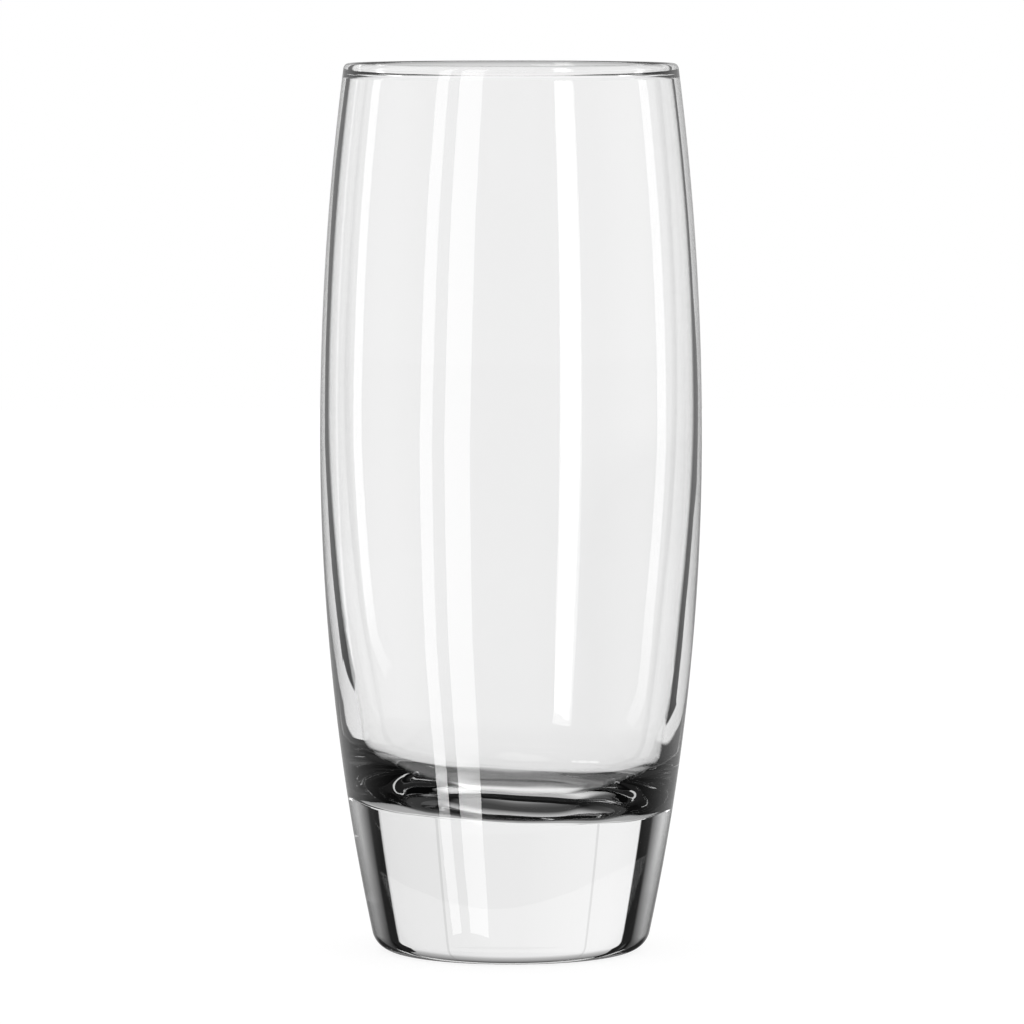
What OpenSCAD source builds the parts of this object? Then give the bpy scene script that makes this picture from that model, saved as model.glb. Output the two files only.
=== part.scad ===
// Highball glass: a tall barrel of clear soda-lime glass on a thick solid base.
// It is one piece of glass, turned about the Z axis, and stands on Z = 0.
// Every round stretch of its profile is a true arc that runs smoothly into the next one.

/* [Barrel] */
// Overall height, from the table to the top of the lip
height = 155; // [120:1:200]
// Outer diameter at the widest part of the barrel
widest_d = 66.6; // [58:0.1:90]
// Height of the widest part of the barrel above the table
widest_z = 89.2; // [60:0.1:120]
// How much narrower the lip is than the widest part, across
rim_draw = 8.3; // [2:0.1:20]
// Outer diameter of the flat ring that the glass stands on
foot_d = 40.6; // [24:0.1:50]
// Radius of the rounded heel between the foot and the side
heel_r = 4.1; // [1:0.1:8]

/* [Bowl] */
// How much higher up the bowl is widest than the barrel
bowl_rise = 6.5; // [0:0.1:20]
// Thickness of the wall just under the lip
rim_wall = 1.35; // [0.8:0.05:3]
// How much thicker the rounded lip is than the wall under it
lip_swell = 0.65; // [0.1:0.05:2]
// Radius of the hollow that leads from the lip down into the wall, inside
lip_blend_r = 1.5; // [0.5:0.1:5]
// Thickness of the wall where the bowl is widest
bowl_wall = 1.5; // [0.8:0.05:3]
// Thickness of the wall where the bowl starts to round in to its floor
lower_wall = 3.5; // [1:0.05:7]
// Radius of the corner between the bowl's wall and its floor
bowl_corner_r = 14.5; // [4:0.1:23]
// Radius of the shallow dish of the bowl's floor
floor_dish_r = 143; // [60:1:400]

/* [Base] */
// Depth of solid glass under the middle of the bowl
base_t = 24.6; // [8:0.1:50]
// Width of the flat ring that the glass stands on
bearing_w = 2.3; // [1:0.1:6]
// Height of the shallow hollow under the base at its middle
hollow_h = 1; // [0.2:0.1:4]

/* [Hidden] */

// Clear glass with a faint cold tint, as red, green, blue and alpha
glass_tint = [0.93, 0.96, 0.96, 0.35];

// Steps in a full turn of the glass, of a corner and of a long shallow arc
turn_fn = 144;
corner_fn = 96;
bow_fn = 720;

// How far a cut or a limit runs past the glass
overrun = 2;

// A corner's circle stands this much proud of the arcs that it touches, so that they join with no gap
lap = 0.004;

// The bowl's radius is rounded to this step, so that its two long arcs start at the very same point
grain = 0.001;

// The wedge that cuts the floor's slice reaches this share of the dish's radius, well past its arc
wedge_reach_share = 2;

// Radius of the arc that stands upright at a start and runs smoothly into a corner circle.
// Points are [radius, height] from here on.
// corner_r is negative for a circle that lies inside the arc and positive for one that lies outside it.
function bow_radius(start, corner, corner_r) =
    let (across = corner.x - start.x, along = corner.y - start.y)
    (across ^ 2 + along ^ 2 - corner_r ^ 2) / (2 * (corner_r - across));

// Centre of such an arc, and its radius from the axis at a height
function bow_centre(start, bow) = [start.x - bow, start.y];
function bow_reach(start, bow, z) = start.x - bow + sqrt(bow ^ 2 - (z - start.y) ^ 2);

// Direction from one point to another, in degrees
function towards(from, to) = atan2(to.y - from.y, to.x - from.x);
function polar(length, angle) = length * [cos(angle), sin(angle)];

// Widest point of the barrel, and centres of the rounded lip and of the heel
barrel = [widest_d / 2, widest_z];
lip_d = rim_wall + lip_swell;
lip_r = lip_d / 2;
lip = [barrel.x - rim_draw / 2 - lip_r, height - lip_r];
heel = [foot_d / 2, heel_r];

// The two arcs of the barrel, and where the lower one meets the heel
upper_bow = bow_radius(barrel, lip, -lip_r);
lower_bow = bow_radius(barrel, heel, -heel_r);
heel_turn = towards(bow_centre(barrel, lower_bow), heel);
heel_top = heel.y + heel_r * sin(heel_turn);

// Widest point of the bowl
bowl_z = widest_z + bowl_rise;
bowl_r = bow_reach(barrel, upper_bow, bowl_z) - bowl_wall;
bowl = [grain * round(bowl_r / grain), bowl_z];

// The bowl's corner keeps the lower wall's thickness, and its circle touches the dished floor
floor_centre = [0, base_t + floor_dish_r];
bowl_corner_x =
    bow_reach(barrel, lower_bow, base_t + bowl_corner_r) - lower_wall - bowl_corner_r;
bowl_corner = [
    bowl_corner_x,
    floor_centre.y - sqrt((floor_dish_r - bowl_corner_r) ^ 2 - bowl_corner_x ^ 2)
];

// The bowl's upper arc touches a circle as wide as the wall under the lip, level with the lip's centre
wall_top = [lip.x + lip_swell / 2, lip.y];
bowl_upper_bow = bow_radius(bowl, wall_top, rim_wall / 2);
bowl_upper_centre = bow_centre(bowl, bowl_upper_bow);

// The bowl's lower arc, and where it meets the corner and the corner meets the floor
bowl_lower_bow = bow_radius(bowl, bowl_corner, -bowl_corner_r);
corner_turn = towards(bow_centre(bowl, bowl_lower_bow), bowl_corner);
corner_top = bowl_corner.y + bowl_corner_r * sin(corner_turn);
floor_turn = towards(floor_centre, bowl_corner);

// The hollow under the lip is a circle that touches both the lip and the bowl's upper arc.
// Its centre is one corner of a triangle with the centres of those two.
lip_reach = norm(lip - bowl_upper_centre);
blend_reach = bowl_upper_bow - lip_blend_r;
blend_apart = lip_r + lip_blend_r;
blend_drop = acos(
    (lip_reach ^ 2 + blend_reach ^ 2 - blend_apart ^ 2) / (2 * lip_reach * blend_reach));
blend_turn = towards(bowl_upper_centre, lip) - blend_drop;
blend = bowl_upper_centre + polar(blend_reach, blend_turn);

// Where the lip's round starts on the outside and ends on the inside
lip_start = towards(bow_centre(barrel, upper_bow), lip);
lip_end = towards(lip, blend);

// The shallow hollow under the base is part of a large sphere
hollow_r = foot_d / 2 - bearing_w;
hollow_sphere_r = (hollow_r ^ 2 + hollow_h ^ 2) / (2 * hollow_h);

// The half profile inside one long arc, from its upright start to a height
module bowed_side(start, bow, to_z) {
    limit = start.x + overrun;
    intersection() {
        translate(bow_centre(start, bow)) circle(bow, $fn = bow_fn);
        polygon([[0, start.y], [limit, start.y], [limit, to_z], [0, to_z]]);
    }
}

// The disc that rounds a corner
module corner_disc(centre, radius) {
    translate(centre) circle(radius + lap, $fn = corner_fn);
}

// The outside of the glass, filled in to the axis: barrel, heel and foot
module barrel_profile() {
    intersection() {
        union() {
            bowed_side(barrel, upper_bow, height);
            bowed_side(barrel, lower_bow, heel_top);
            corner_disc(heel, heel_r);
            square([heel.x, heel.y]);
        }
        square([barrel.x + overrun, height]);
    }
}

// The dished floor: the slice of a large disc that stands on the middle of the floor
module floor_slice() {
    reach = wedge_reach_share * floor_dish_r;
    translate(floor_centre) intersection() {
        circle(floor_dish_r, $fn = bow_fn);
        polygon([[0, 0], polar(reach, floor_turn), polar(reach, -180 - floor_turn)]);
    }
}

// The space that holds the drink: long sides, rounded corner and dished floor
module bowl_profile() {
    bowed_side(bowl, bowl_upper_bow, height + overrun);
    bowed_side(bowl, bowl_lower_bow, corner_top);
    corner_disc(bowl_corner, bowl_corner_r);
    floor_slice();
}

// What is taken off the wall above the lip's centre before the lip is rounded
module lip_trim() {
    outer = lip + polar(lip_d, lip_start);
    inner = lip + polar(lip_d, lip_end);
    top = height + overrun;
    polygon([lip, outer, [outer.x, top], [inner.x, top], inner]);
}

// The glass that fills the hollow between the lip and the wall, down to where the wall takes over
module lip_web() {
    wall_middle = bowl_upper_centre + polar(bowl_upper_bow + rim_wall / 2, blend_turn);
    difference() {
        polygon([lip, blend, wall_middle]);
        corner_disc(blend, lip_blend_r);
    }
}

// The shallow hollow that leaves only the ring of the foot on the table
module hollow_profile() {
    translate([0, hollow_h - hollow_sphere_r]) circle(hollow_sphere_r, $fn = bow_fn);
}

// The glass: barrel less bowl and hollow, with a rounded lip
module tumbler() {
    color(glass_tint)
    rotate_extrude($fn = turn_fn) {
        difference() {
            barrel_profile();
            bowl_profile();
            lip_trim();
            hollow_profile();
        }
        corner_disc(lip, lip_r);
        lip_web();
    }
}

tumbler();
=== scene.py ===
# %% [markdown]
# # A highball glass
#
# The real object is one piece of clear soda-lime glass: a tall barrel with a thin lip, on a thick solid base.
# Clear glass has next to no colour of its own, so a picture of it is made of its shape and what that bends.
# The lesson goes in this order: fixed frame, camera, set, glass, its small faults and its finish.
#
# The frame comes first, because every size and place below has to agree with the solid that it holds.

# %% Load the frame
import math

import bpy
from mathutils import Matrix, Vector, noise


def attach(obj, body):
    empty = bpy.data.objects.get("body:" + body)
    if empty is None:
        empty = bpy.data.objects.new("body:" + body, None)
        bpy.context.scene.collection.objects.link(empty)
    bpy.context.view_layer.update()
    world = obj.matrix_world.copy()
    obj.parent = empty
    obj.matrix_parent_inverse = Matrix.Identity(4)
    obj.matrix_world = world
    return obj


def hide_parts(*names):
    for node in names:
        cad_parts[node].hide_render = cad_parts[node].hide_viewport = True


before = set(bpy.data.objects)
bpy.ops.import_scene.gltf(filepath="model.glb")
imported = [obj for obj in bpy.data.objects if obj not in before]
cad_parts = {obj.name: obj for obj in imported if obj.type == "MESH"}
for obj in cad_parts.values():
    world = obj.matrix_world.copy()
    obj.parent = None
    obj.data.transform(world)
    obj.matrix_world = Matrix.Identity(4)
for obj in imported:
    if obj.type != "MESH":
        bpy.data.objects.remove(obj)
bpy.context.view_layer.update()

# %% [markdown]
# ## The view
#
# A glass looks right only through a long lens: from close by, the mouth opens up and the foot draws in.
# Here the camera stands 1.3 m away and four degrees above the middle of the glass, where the mouth is thin.
# A camera could be aimed with a constraint, but two angles and a distance are easier to read and to change.

# %% Camera
MM = 0.001
camera_distance = 1300 * MM
camera_tilt = math.radians(4.418)
lens_mm = 261.8
aim = Vector((0.17 * MM, 0, 76.77 * MM))

camera_data = bpy.data.cameras.new("view")
camera_data.lens = lens_mm
camera = bpy.data.objects.new("view", camera_data)
bpy.context.scene.collection.objects.link(camera)
camera.location = aim + camera_distance * Vector((0, -math.cos(camera_tilt), math.sin(camera_tilt)))
camera.rotation_euler = (math.pi / 2 - camera_tilt, 0, 0)
bpy.context.scene.camera = camera
bpy.context.scene.view_settings.view_transform = "Standard"
print("camera at", tuple(round(part, 4) for part in camera.location))

# %% [markdown]
# ## Helpers for shader nodes
#
# The set and the finish are both drawn with nodes. These could be placed and linked one by one, as by hand,
# but written out like that they would hide what they do. So each small helper adds a node or a few,
# sets or links their inputs and hands back an output.

# %% Arithmetic with nodes
def feed(tree, socket, value):
    """Give an input a number, or link it to an output."""
    if isinstance(value, bpy.types.NodeSocket):
        tree.links.new(value, socket)
    else:
        socket.default_value = value


def calc(tree, operation, *values):
    """One step of arithmetic."""
    step = tree.nodes.new("ShaderNodeMath")
    step.operation = operation
    for socket, value in zip(step.inputs, values):
        feed(tree, socket, value)
    return step.outputs[0]


def product(tree, *values):
    """All the values multiplied."""
    result = values[0]
    for value in values[1:]:
        result = calc(tree, "MULTIPLY", result, value)
    return result


def rest_of(tree, value):
    """What a value leaves of 1."""
    return calc(tree, "SUBTRACT", 1.0, value)


print("arithmetic helpers ready")


# %% Soft steps and ramps
def fade(tree, value, low, high, at_low, at_high):
    """A soft step from one level to another, between two values."""
    step = tree.nodes.new("ShaderNodeMapRange")
    step.interpolation_type = "SMOOTHSTEP"
    for name, number in (("Value", value), ("From Min", low), ("From Max", high),
                         ("To Min", at_low), ("To Max", at_high)):
        feed(tree, step.inputs[name], number)
    return step.outputs[0]


def levels(tree, value, stops):
    """Straight runs between stops, each a value and the level that it stands for."""
    low = stops[0][0]
    high = stops[-1][0]
    share = tree.nodes.new("ShaderNodeMapRange")
    feed(tree, share.inputs["Value"], value)
    share.inputs["From Min"].default_value = low
    share.inputs["From Max"].default_value = high
    ramp = tree.nodes.new("ShaderNodeValToRGB")
    tree.links.new(share.outputs[0], ramp.inputs["Fac"])
    elements = ramp.color_ramp.elements
    elements[0].position = 0
    elements[1].position = 1
    for at, level in stops[1:-1]:
        elements.new((at - low) / (high - low)).color = (level, level, level, 1)
    elements[0].color = (stops[0][1],) * 3 + (1,)
    elements[len(stops) - 1].color = (stops[-1][1],) * 3 + (1,)
    return ramp.outputs["Color"]


def choose(tree, switch, off, on):
    """One value or another, by a switch of 0 or 1."""
    step = tree.nodes.new("ShaderNodeMix")
    feed(tree, step.inputs["Factor"], switch)
    feed(tree, step.inputs["A"], off)
    feed(tree, step.inputs["B"], on)
    return step.outputs["Result"]


print("ramp helpers ready")

# %% [markdown]
# ## Sorting light by its path
#
# The Light Path node counts how many surfaces of glass a ray has crossed and how often it was mirrored.
# Light that goes straight through the bowl crosses four surfaces: two walls, each with two sides.
# In a studio, cards and lamps are hidden from one another with more cards. Here the counts do that:
# each part of the set says which light sees it, and at which level. So it isn't one real room,
# but every line in the glass can be set by itself.

# %% Path helpers
ONE_WALL = 2
BOTH_WALLS = 4
HALF = 0.5


def at_least(tree, count, number):
    """1 where a count has reached a number."""
    return calc(tree, "GREATER_THAN", count, number - HALF)


def at_most(tree, count, number):
    """1 where a count has not gone past a number."""
    return calc(tree, "LESS_THAN", count, number + HALF)


def through_the_bowl(tree, path):
    """1 for light that went straight through the bowl: in and out of two walls, with no mirror on the way."""
    crossed = at_least(tree, path.outputs["Transmission Depth"], BOTH_WALLS)
    straight = at_most(tree, path.outputs["Glossy Depth"], 0)
    return product(tree, crossed, straight)


def from_the_glass(tree, path):
    """1 for light that the glass has just mirrored or let through."""
    return calc(tree, "MAXIMUM", path.outputs["Is Glossy Ray"], path.outputs["Is Transmission Ray"])


print("path helpers ready")

# %% [markdown]
# ## The studio
#
# Glass is photographed on a bright field: white behind it, and dark just beside the white.
# Its thin edges and its heavy base bend the dark sides into view, and that draws the outline.
# The camera sees plain white, and so does light that went straight through the bowl.
# Light that the glass turned further sees the rest of the set: a backdrop, grey walls and strip lamps.
# These could be objects around the glass, but painted on the world by direction they never block a view.
# Only what has to stand near the glass, because its place matters, is a real card further down.

# %% World directions
world = bpy.data.worlds.new("studio")
bpy.context.scene.world = world
world.use_nodes = True
sky = world.node_tree
sky.nodes.clear()

direction = sky.nodes.new("ShaderNodeTexCoord").outputs["Generated"]
parts = sky.nodes.new("ShaderNodeSeparateXYZ")
sky.links.new(direction, parts.inputs[0])
turn = calc(sky, "DEGREES", calc(sky, "ARCTAN2", parts.outputs["X"], parts.outputs["Y"]))
rise = calc(sky, "DEGREES", calc(sky, "ARCSINE", parts.outputs["Z"]))
aside = calc(sky, "ABSOLUTE", turn)
on_the_left = calc(sky, "LESS_THAN", turn, 0.0)
print("world turned to degrees round and degrees up")

# %% Who sees what
path = sky.nodes.new("ShaderNodeLightPath")
crossings = path.outputs["Transmission Depth"]
mirrors = path.outputs["Glossy Depth"]
sees_studio = product(sky, from_the_glass(sky, path), rest_of(sky, through_the_bowl(sky, path)))
off_the_skin = at_most(sky, crossings, 0)
mirrored = at_least(sky, mirrors, 1)
mirrored_twice = at_least(sky, mirrors, 2)
mirrored_often = at_least(sky, mirrors, 3)
mirrored_once = product(sky, mirrored, rest_of(sky, mirrored_twice))
print("light sorted by its path")

# %% [markdown]
# ## Backdrop and walls
#
# The backdrop is a white field behind the glass, a little brighter on the left, that darkens high up.
# Two thin upright lines of painted shade in it show as fine upright lines in the solid base. The walls beside
# it are grey.
# Light mirrored inside the wall of the glass, or off its outer skin, sees them at other levels.
# A picture of a studio could be wrapped round, but a few levels by angle say where each line comes from.

# %% Backdrop
backdrop_by_turn = (
    (-180, 0), (-47, 0), (-45, 0.985), (-30, 0.975), (-14, 0.94), (-3, 0.905),
    (6, 0.9), (15, 0.865), (43, 0.855), (45, 0), (180, 0))
backdrop_by_rise = ((-90, 1), (18, 1), (21, 0.84), (24, 0.62), (31, 0.44), (45, 0.03), (90, 0.02))
# Two thin upright lines of painted shade in the backdrop, placed by degrees round
left_shade_line_at = -23.4
right_shade_line_at = 19.1
shade_line_half = 0.4
shade_line_loss = 0.16
left_shade_line = calc(sky, "COMPARE", turn, left_shade_line_at, shade_line_half)
right_shade_line = calc(sky, "COMPARE", turn, right_shade_line_at, shade_line_half)
shade_lines = calc(sky, "ADD", left_shade_line, right_shade_line)
backdrop = product(
    sky, levels(sky, turn, backdrop_by_turn), levels(sky, rise, backdrop_by_rise),
    calc(sky, "MULTIPLY_ADD", shade_lines, -shade_line_loss, 1.0))
print("backdrop seams at", left_shade_line_at, "and", right_shade_line_at, "degrees")

# %% Walls beside the backdrop
walls_by_side = (
    (0, 0), (50, 0), (58, 0.3), (61, 0.42), (65, 0.58), (80, 0.58), (95, 0.55), (125, 0.4), (180, 0.4))
walls_by_rise = ((-90, 1), (10, 1), (11, 0.8), (13, 0.65), (25, 0.3), (33, 0.2), (90, 0.2))
left_wall_gain = 1.35
right_wall_gain = 0.92
gain_above = 1.0
above = calc(sky, "GREATER_THAN", rise, gain_above)
wall_gain = choose(sky, above, 1.0, choose(sky, on_the_left, right_wall_gain, left_wall_gain))
walls = product(sky, levels(sky, aside, walls_by_side), levels(sky, rise, walls_by_rise), wall_gain)
print("walls start", walls_by_side[1][0], "degrees to each side")

# %% Walls for mirrored light
mirror_walls_by_turn = (
    (-180, 0.1), (-120, 0.15), (-95, 0.45), (-80, 0.6), (-60, 0.62), (-52, 0.7), (-45, 0.74), (-43, 0),
    (43, 0), (45, 0.58), (60, 0.46), (80, 0.46), (95, 0.4), (120, 0.15), (180, 0.1))
high_from = 26
high_to = 40
high_level = 0.95
high_white = product(sky, at_most(sky, crossings, ONE_WALL), high_level)
high_walls = fade(sky, rise, high_from, high_to, 0, high_white)
mirror_walls = calc(sky, "MAXIMUM", levels(sky, turn, mirror_walls_by_turn), high_walls)
print("mirrored light sees white from", high_to, "degrees up")

# %% Room
left_by_two_mirrors = 0.02
skin_by_side = ((0, 0.5), (20, 0.5), (35, 0.63), (52, 0.6), (74, 0.49), (95, 0.42), (180, 0.29))
skin_by_rise = (
    (-90, 0.03), (-50, 0.03), (-30, 0.08), (-17.5, 0.12), (-15, 0.4),
    (-13, 0.65), (-10, 0.92), (-8, 1), (90, 1))
seen_inside = calc(sky, "ADD", backdrop, choose(sky, mirrored, walls, mirror_walls))
seen_inside = product(sky, seen_inside, choose(sky, mirrored_twice, 1.0, left_by_two_mirrors))
seen_on_skin = product(sky, levels(sky, aside, skin_by_side), levels(sky, rise, skin_by_rise))
room = choose(sky, off_the_skin, seen_inside, seen_on_skin)
print("room nodes so far:", len(sky.nodes))

# %% [markdown]
# ## Strip lamps
#
# The long bright lines on a glass are tall strip lamps, and each line is mirrored by another surface.
# A broad and a slim lamp in front mirror in the outer skin, and a third line comes off the far wall.
# A lamp at each side mirrors inside the near wall. The lamps lean, and the front ones end at a slant.
# Area lamps could do it, but they would light the floor as well and bring noise. Painted strips do neither.


# %% Lamp helper
def strip(round_at, span, up_at, bottom, top, level):
    """An upright lamp, over a span of directions round and between two up."""
    low, high = span
    wide = product(sky, calc(sky, "GREATER_THAN", round_at, low), calc(sky, "LESS_THAN", round_at, high))
    tall = product(sky, calc(sky, "GREATER_THAN", up_at, bottom), calc(sky, "LESS_THAN", up_at, top))
    return product(sky, wide, tall, level)


lamp_top = 40
print("lamps end", lamp_top, "degrees up")

# %% Lamps in front
# A ramp holds levels from 0 to 1, so leans and lamp levels are written as shares.
front_lean_by_rise = (
    (-29, 0.52), (-25, 0.36), (-20, 0.25), (-14, 0.04), (-3.5, 0), (7, 0.24), (12, 0.5), (25, 0.8))
front_lean_full = 10.0
front_slant = 0.065
front_lift = 9.1
front_bottom = -29.4
broad_span = (-155.4, -139.6)
slim_span = (-131.7, -123.5)
front_by_rise = ((-90, 0.27), (-23, 0.27), (-22.6, 1), (-20.7, 1), (-20.2, 0.27), (90, 0.27))
front_full = 10.0
front_turn = calc(sky, "MULTIPLY_ADD", levels(sky, rise, front_lean_by_rise), front_lean_full, turn)
front_rise = calc(sky, "SUBTRACT", rise, calc(sky, "MULTIPLY_ADD", turn, front_slant, front_lift))
front_level = product(sky, levels(sky, front_rise, front_by_rise), off_the_skin, front_full)
broad_lamp = strip(front_turn, broad_span, front_rise, front_bottom, lamp_top, front_level)
slim_lamp = strip(front_turn, slim_span, front_rise, front_bottom, lamp_top, front_level)
print("front lamps start", front_bottom, "degrees up, before their slant")

# %% Lamp in the far wall
far_span = (-148, -134)
far_bottom = -37
far_top = 9.9
far_level = 3.2
off_the_far_wall = product(sky, at_least(sky, crossings, BOTH_WALLS), mirrored_once)
far_lamp = product(sky, strip(turn, far_span, rise, far_bottom, far_top, far_level), off_the_far_wall)
front_lamps = calc(sky, "ADD", calc(sky, "ADD", broad_lamp, slim_lamp), far_lamp)
print("far lamp from", far_bottom, "to", far_top, "degrees up")

# %% Lamps at the sides
side_lean_by_rise = (
    (-30, 0.2), (-22, 0.17), (-20, 0.1), (-18, 0.05), (-14.5, 0.035), (-6.4, 0), (6.5, 0.015), (40, 0.015))
side_lean_full = 100.0
low_end_by_rise = ((-30, 0.1), (-21.5, 0.25), (-17, 0.6), (-13, 1), (40, 1))
left_span = (66, 74.5)
left_bottom = -21.5
left_level = 2.2
right_span = (68.5, 77.5)
right_bottom = -21
right_level = 2.0
side_lean = product(sky, levels(sky, rise, side_lean_by_rise), side_lean_full)
leaning = calc(sky, "SUBTRACT", aside, side_lean)
off_the_inside = product(sky, calc(sky, "COMPARE", crossings, ONE_WALL, HALF), mirrored_once)
left_lamp = product(sky, strip(leaning, left_span, rise, left_bottom, lamp_top, left_level), on_the_left)
on_the_right = rest_of(sky, on_the_left)
right_lamp = product(sky, strip(leaning, right_span, rise, right_bottom, lamp_top, right_level), on_the_right)
low_end = levels(sky, rise, low_end_by_rise)
side_lamps = product(sky, calc(sky, "ADD", left_lamp, right_lamp), off_the_inside, low_end)
print("side lamps lean by up to", side_lean_by_rise[0][1] * side_lean_full, "degrees")

# %% Glints and world shader
side_glint_span = (66, 74)
front_glint_span = (-151, -146)
glint_bottom = -40
glint_top = 60
glint_level = 0.6
side_glint = strip(aside, side_glint_span, rise, glint_bottom, glint_top, glint_level)
front_glint = strip(turn, front_glint_span, rise, glint_bottom, glint_top, glint_level)
glints = product(sky, calc(sky, "ADD", side_glint, front_glint), mirrored_often)
lamps = calc(sky, "ADD", front_lamps, calc(sky, "ADD", side_lamps, glints))
studio = calc(sky, "ADD", room, lamps)
background = sky.nodes.new("ShaderNodeBackground")
background.inputs["Color"].default_value = (1, 1, 1, 1)
sky.links.new(choose(sky, sees_studio, 1.0, studio), background.inputs["Strength"])
world_output = sky.nodes.new("ShaderNodeOutputWorld")
sky.links.new(background.outputs[0], world_output.inputs["Surface"])
print("world nodes:", len(sky.nodes))

# %% [markdown]
# ## The flags
#
# A flag is a black card that stands just outside the picture. The wall of a glass is a thin curved mirror
# on its inside, and near the outline it shows what stands beside the white. With a flag at each side,
# 150 mm behind the glass, each edge gets its thin dark line and the solid base gets its black bands.
# They could be painted on the world like the walls, but a card this near shifts as the wall curves.


# %% Cards
def card(name, left, right, bottom, top, behind):
    """An upright card behind the glass, hidden from the camera. It casts no shadow."""
    bpy.ops.object.select_all(action="DESELECT")
    bpy.ops.mesh.primitive_plane_add(size=1)
    sheet = bpy.context.object
    sheet.name = name
    bpy.ops.transform.resize(value=(right - left, top - bottom, 1))
    bpy.ops.transform.rotate(value=math.pi / 2, orient_axis="X", center_override=(0, 0, 0))
    bpy.ops.transform.translate(value=((left + right) / 2, behind, (bottom + top) / 2))
    bpy.ops.object.transform_apply(location=True, rotation=True, scale=True)
    sheet.visible_camera = False
    sheet.visible_diffuse = False
    sheet.visible_shadow = False
    return sheet


print("card helper ready")


# %% Paint for cards
def card_paint(sheet, shade):
    """A glowing paint for light from inside the glass. The shade gives its cover and its level."""
    paint = bpy.data.materials.new(sheet.name)
    paint.use_nodes = True
    tree = paint.node_tree
    tree.nodes.clear()
    place = tree.nodes.new("ShaderNodeSeparateXYZ")
    tree.links.new(tree.nodes.new("ShaderNodeTexCoord").outputs["Object"], place.inputs[0])
    light = tree.nodes.new("ShaderNodeLightPath")
    cover, level = shade(tree, light, place.outputs["X"], place.outputs["Z"])
    inside = at_least(tree, light.outputs["Transmission Depth"], 1)
    bent_hard = rest_of(tree, through_the_bowl(tree, light))
    glow = tree.nodes.new("ShaderNodeEmission")
    glow.inputs["Strength"].default_value = level
    gone = tree.nodes.new("ShaderNodeBsdfTransparent")
    mix = tree.nodes.new("ShaderNodeMixShader")
    tree.links.new(product(tree, cover, inside, bent_hard), mix.inputs["Fac"])
    tree.links.new(gone.outputs[0], mix.inputs[1])
    tree.links.new(glow.outputs[0], mix.inputs[2])
    output = tree.nodes.new("ShaderNodeOutputMaterial")
    tree.links.new(mix.outputs[0], output.inputs["Surface"])
    sheet.data.materials.append(paint)


print("card paint ready")

# %% Flag shade
flag_black = 0.012
flag_waist = 80 * MM
outer_at_table = 190 * MM
outer_at_waist = 142 * MM
inner_soft = 5 * MM
outer_soft = 25 * MM


def flag_shade(edge_mm):
    """Black from an inner edge, given at a few heights, to a soft outer edge, further out near the table."""
    inner_edge = tuple((height * MM, reach * MM) for height, reach in edge_mm)

    def shade(tree, light, x, z):
        out = calc(tree, "ABSOLUTE", x)
        outer = fade(tree, z, 0, flag_waist, outer_at_table, outer_at_waist)
        past_inner = calc(tree, "SUBTRACT", out, levels(tree, z, inner_edge))
        short_of_outer = calc(tree, "SUBTRACT", outer, out)
        starts = fade(tree, past_inner, 0, inner_soft, 0, 1)
        ends = fade(tree, short_of_outer, 0, outer_soft, 0, 1)
        return product(tree, starts, ends), flag_black

    return shade


print("flags have a soft inner edge of", inner_soft / MM, "mm")

# %% Flags
flag_back = 150 * MM
flag_tall = 260 * MM
flag_start = 60 * MM
flag_reach = 200 * MM
# Height above the table and distance from the middle, both in mm
left_edge_mm = ((24, 113), (36, 107), (54, 103), (70, 91), (105, 90), (137, 75), (155, 87))
right_edge_mm = ((20, 121), (42, 110), (50, 104), (60, 88), (85, 83), (94, 88), (108, 102), (150, 105))

left_flag = card("flag_left", -flag_reach, -flag_start, 0, flag_tall, flag_back)
card_paint(left_flag, flag_shade(left_edge_mm))
right_flag = card("flag_right", flag_start, flag_reach, 0, flag_tall, flag_back)
card_paint(right_flag, flag_shade(right_edge_mm))
print("flags:", left_flag.name, right_flag.name)

# %% [markdown]
# ## The white card
#
# Above and behind the glass hangs a white card. It brightens what the glass shows where it looks up
# and back. A lamp could do that, but a card has an edge, and the glass shows it as a crisp line.

# %% White card above
card_half = 250 * MM
card_bottom = 205 * MM
card_top = 560 * MM
card_back = 200 * MM
card_white = 0.93


def white_shade(tree, light, x, z):
    """White for light that was mirrored once at most."""
    return at_most(tree, light.outputs["Glossy Depth"], 1), card_white


upper_card = card("card_above", -card_half, card_half, card_bottom, card_top, card_back)
card_paint(upper_card, white_shade)
print("card:", upper_card.name)

# %% [markdown]
# ## The floor
#
# The glass stands on a pale table. To the camera the table glows nearly white, and the rest of its light
# is matt, so that it keeps the shadow of the glass. A matt floor alone would need more light on the glass.

# %% Floor
bpy.ops.object.select_all(action="DESELECT")
floor_reach = 1500 * MM
bpy.ops.mesh.primitive_circle_add(vertices=128, radius=floor_reach, fill_type="NGON")
floor = bpy.context.object
floor.name = "floor"
floor.visible_glossy = False
print("floor radius", floor_reach)

# %% [markdown]
# ## Paint for the table
#
# Seen through the glass, the table is painted by place and by the light's path. It has a white sweep
# that widens to the back, dark beside it, and it is dim close to the foot, where little light gets.
# In a studio this is white paper between black cards. One painted floor has no edges to hide,
# and a level worked out from places, in a few steps, can be read and changed where a picture can't.

# %% Places on the table
floor_paint = bpy.data.materials.new("pale_table")
floor_paint.use_nodes = True
table = floor_paint.node_tree
table.nodes.clear()
spot = table.nodes.new("ShaderNodeSeparateXYZ")
table.links.new(table.nodes.new("ShaderNodeTexCoord").outputs["Object"], spot.inputs[0])
right = spot.outputs["X"]
back = spot.outputs["Y"]
across = calc(table, "ABSOLUTE", right)
away = calc(table, "SQRT", calc(table, "MULTIPLY_ADD", across, across, product(table, back, back)))


def from_mm(stops_mm):
    """Stops with their places turned from millimetres to metres."""
    return tuple((at * MM, level) for at, level in stops_mm)


print("places on the table: right, back, across and away")

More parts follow.
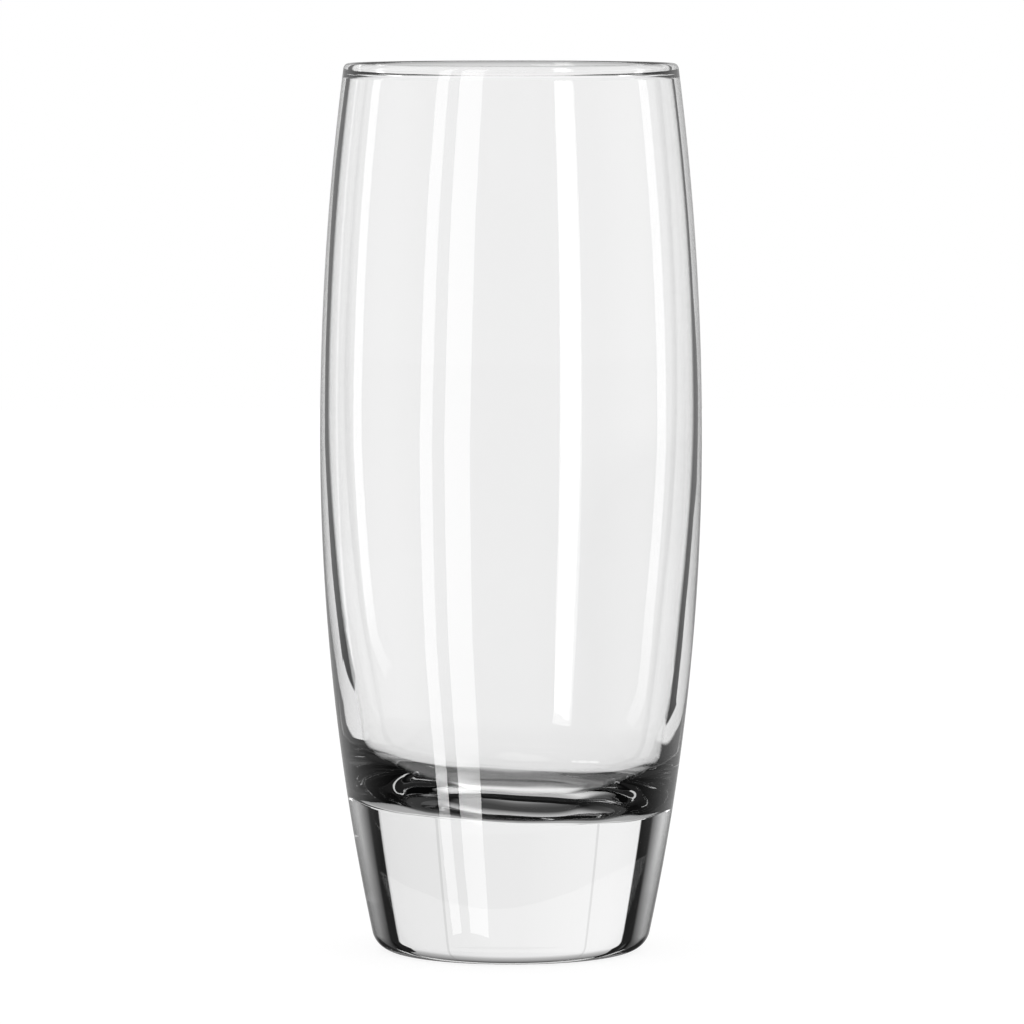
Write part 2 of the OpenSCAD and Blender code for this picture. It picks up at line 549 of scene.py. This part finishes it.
# %% Paths to the table
table_path = table.nodes.new("ShaderNodeLightPath")
table_crossings = table_path.outputs["Transmission Depth"]
table_mirrors = table_path.outputs["Glossy Depth"]
table_bent = from_the_glass(table, table_path)
table_clear = through_the_bowl(table, table_path)
mirrored_here = at_least(table, table_mirrors, 1)
twice_here = at_least(table, table_mirrors, 2)
print("light to the table sorted by its path")

# %% White sweep
sweep_half = 63 * MM
sweep_spread = 0.43
sweep_front = -25 * MM
sweep_soft = 4 * MM
mirror_widens = 9 * MM
table_white = 0.95
beside_sweep = 0.07
from_front = calc(table, "MAXIMUM", back, sweep_front)
sweep_edge = calc(table, "MULTIPLY_ADD", from_front, sweep_spread, sweep_half)
sweep_edge = calc(table, "MULTIPLY_ADD", mirrored_here, mirror_widens, sweep_edge)
past_edge = calc(table, "SUBTRACT", across, sweep_edge)
sweep = fade(table, past_edge, -sweep_soft, sweep_soft, table_white, beside_sweep)
print("sweep is", 2 * sweep_half / MM, "mm wide beside the glass")

# %% [markdown]
# ## Sides of the table
#
# At each side the corner of the bowl is dark. That is light mirrored once, which lands beside the sweep.
# Where the dark starts and ends is set here, on the table, for such light alone. The shape of the corner
# could be bent until the dark falls right, but wall, floor and base already fit as they are.

# %% Sides for mirrored light
side_slope = 0.333
side_black = 0.03
side_from = 127 * MM
side_to = 132 * MM
dark_from = 90 * MM
dark_full = 94 * MM
dark_to = 158 * MM
dark_inner = 119 * MM
dark_outer = 123 * MM
dark_depth = 0.94
middle_from = 35 * MM
middle_to = 55 * MM
side_reach = calc(table, "MULTIPLY_ADD", back, side_slope, across)
side_white = fade(table, side_reach, side_from, side_to, side_black, table_white)
side_dark = product(
    table, fade(table, back, dark_from, dark_full, 0, 1), calc(table, "LESS_THAN", back, dark_to),
    fade(table, across, dark_inner, dark_outer, 0, dark_depth))
side_level = calc(table, "SUBTRACT", side_white, side_dark)
off_middle = product(table, mirrored_here, fade(table, across, middle_from, middle_to, 0, 1))
sweep = choose(table, off_middle, sweep, side_level)
print("mirrored light sees white from", side_to / MM, "mm to the side")

# %% Front of the table
front_from = -40 * MM
front_to = -25 * MM
front_straight = 0.8
front_mirrored = 0.1
dim_from = -15 * MM
dim_to = 5 * MM
dim_depth = 0.88
front_white = choose(table, mirrored_here, front_straight, front_mirrored)
sweep = calc(table, "MAXIMUM", sweep, fade(table, back, front_from, front_to, front_white, 0))
front_dim = product(table, mirrored_here, fade(table, back, dim_from, dim_to, dim_depth, 0))
sweep = product(table, sweep, rest_of(table, front_dim))
print("front of the table is white", -front_from / MM, "mm before the glass")

# %% [markdown]
# ## Under the foot and close to it
#
# Little light gets to the table around the foot, so it is dim there. What shows of it differs by path:
# straight through the bowl it is seen in the floor of the bowl, and mirrored light shows it in the corner.
# A real shadow would do some of this, but then a brighter lamp anywhere would change the base.

# %% Close to the foot
near_mm = (
    (0, 0.09), (24, 0.09), (26, 0.15), (28, 0.32), (33, 0.86), (47, 0.88), (100, 0.95), (200, 1), (210, 1))
near = levels(table, away, from_mm(near_mm))
print("table is dim within", near_mm[4][0], "mm of the axis")

# %% Under the foot
foot_mm = 20.4
clear_mm = ((-foot_mm, 1), (-4, 0.95), (3, 0.9), (6, 0.4), (8, 0.22), (14, 0.2), (foot_mm, 0.15))
once_mm = (
    (-foot_mm, 0.3), (-17, 0.12), (-13, 0.06), (-7, 0.06), (-3, 0.3), (0, 0.45), (5, 0.65), (foot_mm, 0.5))
twice_mm = ((-foot_mm, 0.45), (-15, 0.5), (-10, 0.8), (0, 0.5), (foot_mm, 0.2))
one_wall_below = 0.2
rim_from = 14 * MM
rim_to = 18 * MM
rim_left = 0.15
below_straight = choose(table, table_clear, one_wall_below, levels(table, back, from_mm(clear_mm)))
below_once = levels(table, back, from_mm(once_mm))
below_twice = levels(table, back, from_mm(twice_mm))
below = choose(table, mirrored_here, below_straight, choose(table, twice_here, below_once, below_twice))
below = product(table, below, fade(table, across, rim_from, rim_to, 1, rim_left))
under_foot = calc(table, "LESS_THAN", away, foot_mm * MM)
print("foot covers", foot_mm, "mm round the axis")

# %% [markdown]
# ## A dimmer table for mirrored light
#
# Glass mirrors on its inside without loss, but what it mirrors there is the darker part of a studio.
# That part could be built card by card. Here mirrored light is simply shown a dimmer table.
# Light that went straight through both walls sees it almost white, with a faint dusk on the right.

# %% Dimmer for mirrored light
once_from = 60 * MM
once_to = 110 * MM
once_loss = 0.5
twice_loss = 0.93
least_left = 0.02
all_from = 110 * MM
all_to = 140 * MM
dim_once = product(table, mirrored_here, fade(table, away, once_from, once_to, once_loss, 0))
dim_twice = product(table, twice_here, twice_loss)
kept = calc(table, "SUBTRACT", rest_of(table, dim_once), dim_twice)
kept = calc(table, "MAXIMUM", kept, least_left)
through_all = at_least(table, table_crossings, BOTH_WALLS)
kept_far = product(table, through_all, fade(table, away, all_from, all_to, 0, table_white))
kept = calc(table, "MAXIMUM", kept, kept_far)
print("kept after two mirrors:", least_left)

# %% Seen through both walls
clear_white = 0.99
dusk_depth = 0.15
dusk_full_right = 90 * MM
dusk_full_away = 400 * MM
dusk_gone_away = 1100 * MM
dusk_full_back = 70 * MM
dusk = product(
    table, fade(table, right, 0, dusk_full_right, 0, dusk_depth),
    fade(table, away, dusk_full_away, dusk_gone_away, 1, 0), fade(table, back, 0, dusk_full_back, 0, 1))
plain = product(table, table_clear, calc(table, "SUBTRACT", clear_white, dusk))
open_table = calc(table, "MAXIMUM", product(table, sweep, kept), plain)
open_table = product(table, open_table, near)
print("dusk takes", dusk_depth, "on the right")

# %% [markdown]
# ## Seen through one wall
#
# The far wall of the mouth, the bead of the lip and the solid base are crossed only twice. Well behind
# the glass the table gets brighter with distance for such light, which gives the lip its grey lines.
# To the sides it is plain white, so that less dark shows in the mouth when it is seen from elsewhere.

# %% Lip and mouth
lip_slope = 1.6
lip_from = 120 * MM
lip_mm = ((0, 0.36), (185, 0.38), (293, 0.57), (438, 0.66), (641, 0.72), (1065, 0.85), (1500, 0.95))
turned_near = 0.7
turned_far = 0.43
turned_from = 220 * MM
turned_to = 260 * MM
mouth_from = 45 * MM
mouth_to = 75 * MM
one_wall = product(table, rest_of(table, mirrored_here), at_most(table, table_crossings, ONE_WALL))
lip_line = calc(table, "MULTIPLY_ADD", across, lip_slope, lip_from)
lip_sees = product(table, one_wall, calc(table, "GREATER_THAN", back, lip_line))
open_table = choose(table, lip_sees, open_table, levels(table, away, from_mm(lip_mm)))
turned_share = fade(table, away, turned_from, turned_to, turned_near, turned_far)
turned_away = calc(table, "GREATER_THAN", across, product(table, back, turned_share))
side_table = product(table, one_wall, turned_away, fade(table, away, mouth_from, mouth_to, 0, 1))
open_table = choose(table, side_table, open_table, table_white)
print("lip sees the table from", lip_from / MM, "mm behind")

# %% [markdown]
# ## Where the table ends
#
# For light that the glass bent, the painted table ends where the set does, and beyond it that light
# sees the walls. It could be a smaller floor, but the camera and the clear bowl still need the large one.

# %% Past the set
front_edge = -148 * MM
bent_reach = 320 * MM
side_end_half = 85 * MM
side_end_spread = 0.57
side_end_from = 26 * MM
past_front = calc(table, "LESS_THAN", back, front_edge)
past_set = calc(table, "MAXIMUM", past_front, calc(table, "GREATER_THAN", away, bent_reach))
plain_view = calc(table, "MAXIMUM", table_clear, calc(table, "MAXIMUM", lip_sees, side_table))
past_set = product(table, past_set, rest_of(table, plain_view))
from_end = calc(table, "MAXIMUM", back, side_end_from)
side_end = calc(table, "MULTIPLY_ADD", from_end, side_end_spread, side_end_half)
past_side = product(table, mirrored_here, calc(table, "GREATER_THAN", across, side_end))
past_set = calc(table, "MAXIMUM", past_set, past_side)
table_ends = product(table, table_bent, past_set)
print("table reaches", bent_reach / MM, "mm for bent light")

# %% Table shader
camera_white = 0.85
matt_white = 0.2
seen = choose(table, under_foot, open_table, below)
to_camera = product(table, table_path.outputs["Is Camera Ray"], camera_white)
glow = calc(table, "ADD", to_camera, product(table, table_bent, seen))
matt = table.nodes.new("ShaderNodeBsdfDiffuse")
table.links.new(product(table, rest_of(table, table_bent), matt_white), matt.inputs["Color"])
lit = table.nodes.new("ShaderNodeEmission")
table.links.new(glow, lit.inputs["Strength"])
both = table.nodes.new("ShaderNodeAddShader")
table.links.new(matt.outputs[0], both.inputs[0])
table.links.new(lit.outputs[0], both.inputs[1])
nothing = table.nodes.new("ShaderNodeBsdfTransparent")
top = table.nodes.new("ShaderNodeMixShader")
table.links.new(table_ends, top.inputs["Fac"])
table.links.new(both.outputs[0], top.inputs[1])
table.links.new(nothing.outputs[0], top.inputs[2])
table_output = table.nodes.new("ShaderNodeOutputMaterial")
table.links.new(top.outputs[0], table_output.inputs["Surface"])
floor.data.materials.append(floor_paint)
print("floor nodes:", len(table.nodes))

# %% [markdown]
# ## The profile of the glass
#
# The glass was formed in a turning mould, so one half profile says it all. Each stretch is an arc that runs
# smoothly into the next. A curve could be drawn through points, but its joins would only be nearly smooth.
# Spin turns one point about an arc's centre and leaves a true arc behind, so ten spins and one straight run
# draw the whole profile: hollow, foot, heel, barrel, lip, bowl, corner and floor.

# %% Sizes
barrel = Vector((33.3, 89.2)) * MM
rim_wall = 1.35 * MM
lip_swell = 0.65 * MM
blend_r = 1.5 * MM
lip_r = (rim_wall + lip_swell) / 2
rim = Vector((29.15, 155)) * MM
lip = rim - Vector((lip_r, lip_r))
foot_r = 20.3 * MM
heel_r = 4.1 * MM
heel = Vector((foot_r, heel_r))
bowl = Vector((31.758, 95.7)) * MM
corner_r = 14.5 * MM
lower_wall = 3.5 * MM
base_depth = 24.6 * MM
dish_r = 143 * MM
foot_ring = 2.3 * MM
hollow_h = 1.0 * MM
print("glass is", round(2 * barrel.x / MM, 1), "mm wide and", round(rim.y / MM, 1), "mm tall")


# %% Arc helpers
def bow_radius(start, end, radius):
    """Radius of the arc that stands upright at a start and runs smoothly into a circle at its end."""
    out = end.x - start.x
    along = end.y - start.y
    return (out ** 2 + along ** 2 - radius ** 2) / (2 * (radius - out))


def bow_reach(start, bow, z):
    """How far from the axis such an arc is at a height."""
    return start.x - bow + math.sqrt(bow ** 2 - (z - start.y) ** 2)


def towards(start, end):
    """Direction from one point to another, as an angle."""
    return math.atan2(end.y - start.y, end.x - start.x)


print("arc helpers ready")

# %% Barrel and bowl arcs
upper_bow = bow_radius(barrel, lip, -lip_r)
lower_bow = bow_radius(barrel, heel, -heel_r)
upper_centre = Vector((barrel.x - upper_bow, barrel.y))
lower_centre = Vector((barrel.x - lower_bow, barrel.y))
dish = Vector((0, base_depth + dish_r))
corner_x = bow_reach(barrel, lower_bow, base_depth + corner_r) - lower_wall - corner_r
corner = Vector((corner_x, dish.y - math.sqrt((dish_r - corner_r) ** 2 - corner_x ** 2)))
wall_top = lip + Vector((lip_swell / 2, 0))
bowl_upper_bow = bow_radius(bowl, wall_top, rim_wall / 2)
bowl_lower_bow = bow_radius(bowl, corner, -corner_r)
bowl_upper_centre = Vector((bowl.x - bowl_upper_bow, bowl.y))
bowl_lower_centre = Vector((bowl.x - bowl_lower_bow, bowl.y))
long_arcs = (upper_bow, lower_bow, bowl_upper_bow, bowl_lower_bow)
print("long arcs, mm:", [round(radius / MM, 1) for radius in long_arcs])

# %% Lip blend and hollow
lip_reach = (lip - bowl_upper_centre).length
blend_reach = bowl_upper_bow - blend_r
blend_apart = lip_r + blend_r
blend_cosine = (lip_reach ** 2 + blend_reach ** 2 - blend_apart ** 2) / (2 * lip_reach * blend_reach)
blend_turn = towards(bowl_upper_centre, lip) - math.acos(blend_cosine)
blend = bowl_upper_centre + blend_reach * Vector((math.cos(blend_turn), math.sin(blend_turn)))
hollow_reach = heel.x - foot_ring
hollow_r = (hollow_reach ** 2 + hollow_h ** 2) / (2 * hollow_h)
hollow = Vector((0, hollow_h - hollow_r))
print("hollow under the base, radius in mm:", round(hollow_r / MM, 1))

# %% Start of the profile
bpy.ops.object.select_all(action="DESELECT")
bpy.ops.mesh.primitive_plane_add(size=foot_ring, location=(0, 0, hollow_h))
glass = bpy.context.object
glass.name = "tumbler_glass"
bpy.ops.object.mode_set(mode="EDIT")
bpy.ops.mesh.select_mode(type="VERT")
bpy.ops.mesh.select_all(action="SELECT")
bpy.ops.mesh.merge(type="CENTER")


def arc(centre, start, end, steps):
    """Spin the last point about a centre, from one angle to another."""
    side = 1 if end > start else -1
    bpy.ops.mesh.spin(
        steps=steps, angle=abs(end - start), center=(centre.x, 0, centre.y), axis=(0, side, 0))


print("profile starts at the middle of the hollow,", hollow_h / MM, "mm up")

# %% Draw the profile
quarter = math.pi / 2
ring_steps = 4
arc(hollow, quarter, towards(hollow, Vector((hollow_reach, 0))), steps=18)
for _ in range(ring_steps):
    bpy.ops.mesh.extrude_region_move(TRANSFORM_OT_translate={"value": (foot_ring / ring_steps, 0, 0)})
arc(heel, -quarter, towards(lower_centre, heel), steps=24)
arc(lower_centre, towards(lower_centre, heel), 0, steps=42)
arc(upper_centre, 0, towards(upper_centre, lip), steps=32)
arc(lip, towards(upper_centre, lip), 2 * math.pi + towards(lip, blend), steps=24)
arc(blend, towards(blend, lip), blend_turn, steps=10)
arc(bowl_upper_centre, blend_turn, 0, steps=30)
arc(bowl_lower_centre, 0, towards(bowl_lower_centre, corner), steps=30)
arc(corner, towards(bowl_lower_centre, corner), towards(dish, corner), steps=50)
arc(dish, towards(dish, corner), -quarter, steps=18)
bpy.ops.object.mode_set(mode="OBJECT")
print("profile points:", len(glass.data.vertices))

# %% [markdown]
# ## Turning it
#
# The profile goes once round the axis, as the mould did. A Screw modifier could do it, but Spin is the tool
# that drew the arcs. It leaves many points at the two poles and a seam where the turn closes,
# so doubles are merged, and after that the faces are made to point outwards.

# %% Turn the glass
turn_steps = 288
double_within = 0.002 * MM
smooth_below = math.radians(30)
bpy.ops.object.mode_set(mode="EDIT")
bpy.ops.mesh.select_all(action="SELECT")
bpy.ops.mesh.spin(steps=turn_steps, angle=2 * math.pi, center=(0, 0, 0), axis=(0, 0, 1))
bpy.ops.mesh.select_all(action="SELECT")
bpy.ops.mesh.remove_doubles(threshold=double_within)
bpy.ops.mesh.normals_make_consistent(inside=False)
bpy.ops.object.mode_set(mode="OBJECT")
bpy.ops.object.transform_apply(location=True, rotation=True, scale=True)
bpy.ops.object.shade_smooth_by_angle(angle=smooth_below)
print("glass faces:", len(glass.data.polygons), "points:", len(glass.data.vertices))

# %% [markdown]
# ## The uneven floor
#
# The outside of a glass takes its shape from the mould, but its inside is free and sets as it cools.
# Here the floor of the bowl slants a little to one side and is slightly lumpy, which breaks up the forms
# in its corner. A displacement map could do this, but moved points bend light as a real floor does,
# and the mesh that is kept has them too.

# %% Uneven floor
slant = 0.06
lump = 0.16 * MM
lump_size = 7 * MM
even_middle = 10 * MM
half_wall = 1.2 * MM
hollow_clear = 2 * MM
full_below = 40 * MM
gone_above = 62 * MM
moved = 0
for vertex in glass.data.vertices:
    x, y, z = vertex.co
    if z < hollow_clear or z > gone_above:
        continue
    from_axis = math.hypot(x, y)
    if from_axis > bow_reach(barrel, lower_bow, z) - half_wall:
        continue
    share = min(1.0, (gone_above - z) / (gone_above - full_below))
    share = share * share * (3 - 2 * share)
    bump = noise.noise(Vector((x, y, z)) / lump_size) * lump * min(1.0, from_axis / even_middle)
    vertex.co.z = z + share * (bump - slant * x)
    moved += 1
glass.data.update()
print("points moved:", moved)

# %% [markdown]
# ## Clear glass
#
# Polished glass is nearly all reflection and refraction. What tells it from a perfect sheet is small:
# a faint waviness from the mould, and a polish that isn't quite even. Photographs of smears could give that,
# but soft noise on the object's own coordinates fits any size of picture and stays with the glass.

# %% Glass shader
glass_ior = 1.52
glass_white = 0.997
finish = bpy.data.materials.new("clear_glass")
finish.use_nodes = True
clear_tree = finish.node_tree
shader = clear_tree.nodes["Principled BSDF"]
shader.inputs["IOR"].default_value = glass_ior
shader.inputs["Transmission Weight"].default_value = 1.0
shader.inputs["Base Color"].default_value = (glass_white, glass_white, glass_white, 1)
on_glass = clear_tree.nodes.new("ShaderNodeTexCoord").outputs["Object"]
print("glass bends light by", glass_ior)


# %% Polish and waviness
def grain(scale, detail):
    """Soft noise on the object's own coordinates, with a scale in cells to the metre."""
    cloud = clear_tree.nodes.new("ShaderNodeTexNoise")
    clear_tree.links.new(on_glass, cloud.inputs["Vector"])
    cloud.inputs["Scale"].default_value = scale
    cloud.inputs["Detail"].default_value = detail
    return cloud.outputs["Fac"]


dullest = 0.012
dull_from = 0.35
dull_to = 0.7
wave_height = 0.02 * MM
wave_share = 0.5
polish = fade(clear_tree, grain(scale=140, detail=2), dull_from, dull_to, 0.0, dullest)
clear_tree.links.new(polish, shader.inputs["Roughness"])
wave = clear_tree.nodes.new("ShaderNodeBump")
wave.inputs["Strength"].default_value = wave_share
wave.inputs["Distance"].default_value = wave_height
clear_tree.links.new(grain(scale=45, detail=1), wave.inputs["Height"])
clear_tree.links.new(wave.outputs[0], shader.inputs["Normal"])
glass.data.materials.append(finish)
print("finish:", finish.name)

# %% [markdown]
# ## On the frame
#
# The drawn glass takes the place of the plain solid and rides on its body, so that both move as one.
# Light in a glass crosses many surfaces before it gets out. With too few bounces the base would turn black,
# so the limits are raised.

# %% Hang the piece on the frame
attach(glass, "root")
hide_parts("tumbler")
bpy.context.scene.cycles.glossy_bounces = 10
bpy.context.scene.cycles.max_bounces = 20
bpy.context.scene.cycles.transmission_bounces = 16
print("glass rides on root")
